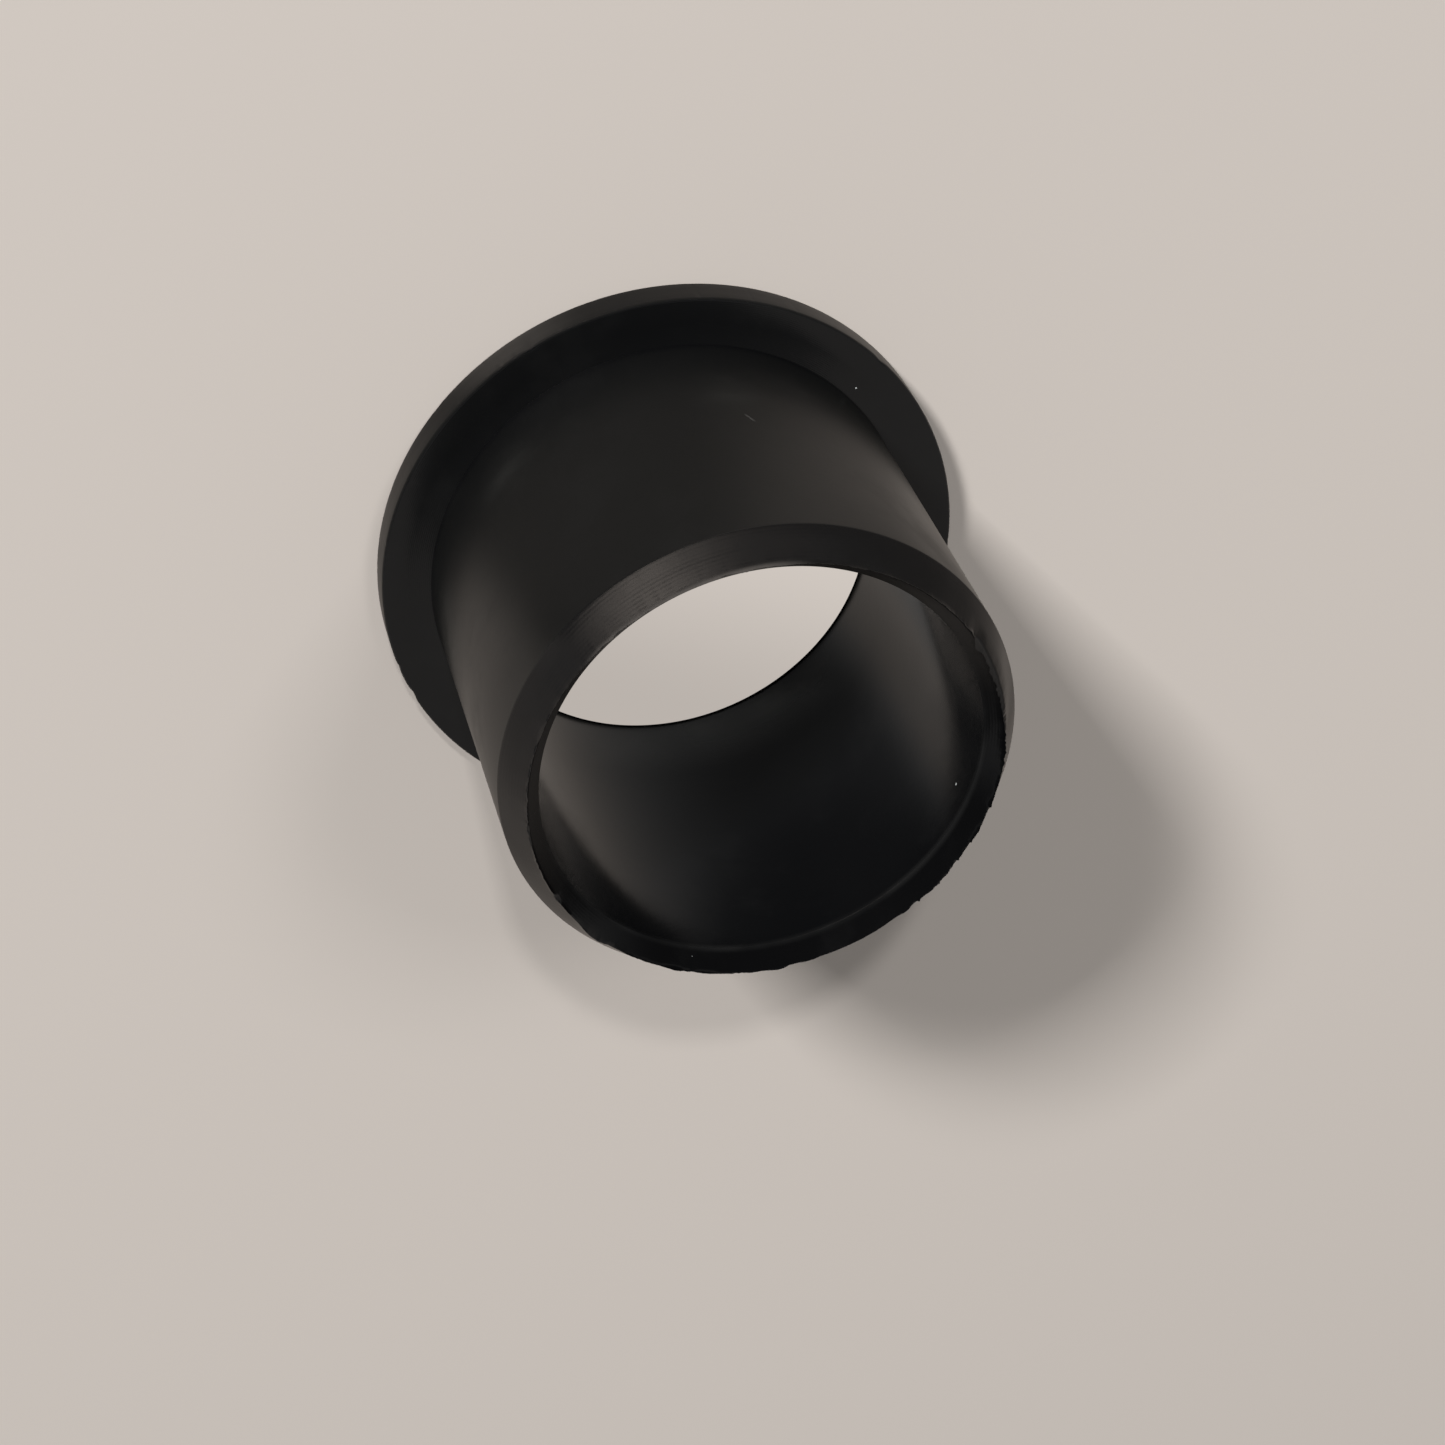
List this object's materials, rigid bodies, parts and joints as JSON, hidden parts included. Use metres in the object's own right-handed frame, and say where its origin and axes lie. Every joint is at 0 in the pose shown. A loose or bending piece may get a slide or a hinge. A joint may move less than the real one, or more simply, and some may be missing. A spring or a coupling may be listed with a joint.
{
  "type": "flanged bushing",
  "caption": "Flanged plastic bushing: a straight tube with a round flange at its foot, a knife-edge bevelled lip at its mouth, and a bore right through.",
  "frame": {"origin": "centre of the bore at the flange's back face, on which the bushing stands", "axes": "+Z along the bore, from the flange's back face towards the lip"},
  "size_m": [0.036, 0.036, 0.0256],
  "materials": {
    "black_plastic": "satin black moulded plastic with faint scuffs and ragged flash along the lip"
  },
  "bodies": {
    "root": {"flanged_bushing": "black_plastic"}
  },
  "joints": []
}
